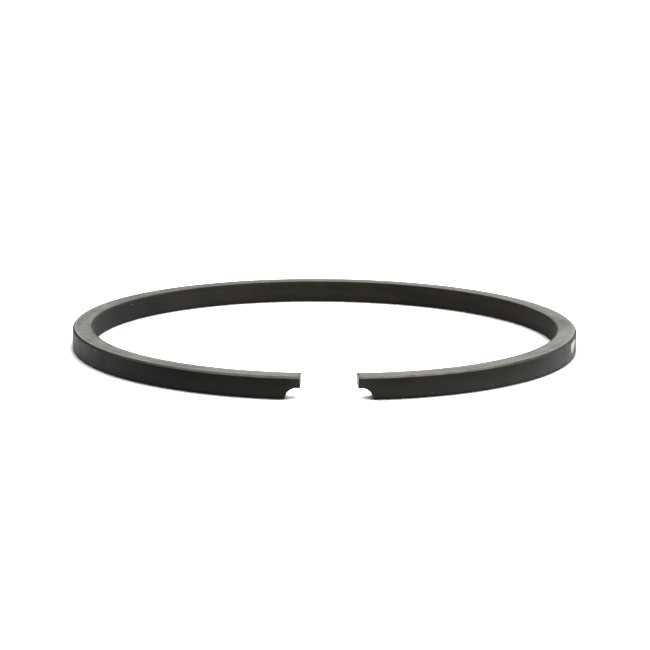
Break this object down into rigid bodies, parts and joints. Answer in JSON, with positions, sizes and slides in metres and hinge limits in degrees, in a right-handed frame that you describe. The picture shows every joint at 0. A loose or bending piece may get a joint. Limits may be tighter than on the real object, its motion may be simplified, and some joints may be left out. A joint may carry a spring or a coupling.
{
  "type": "piston ring",
  "caption": "Split piston ring of dark phosphated iron, sprung open to its free shape, with a pin notch in the lower half of each end.",
  "frame": {"origin": "middle of the free ring in plan, on the plane of its lower side face", "axes": "+Z along the ring's axis, up from the lower side face; the gap between the ends faces -Y"},
  "size_m": [0.0582, 0.057, 0.0025],
  "materials": {
    "phosphated_iron": "dark phosphated, fine turned and ground faces"
  },
  "bodies": {
    "root": {"piston_ring": "phosphated_iron"}
  },
  "joints": []
}
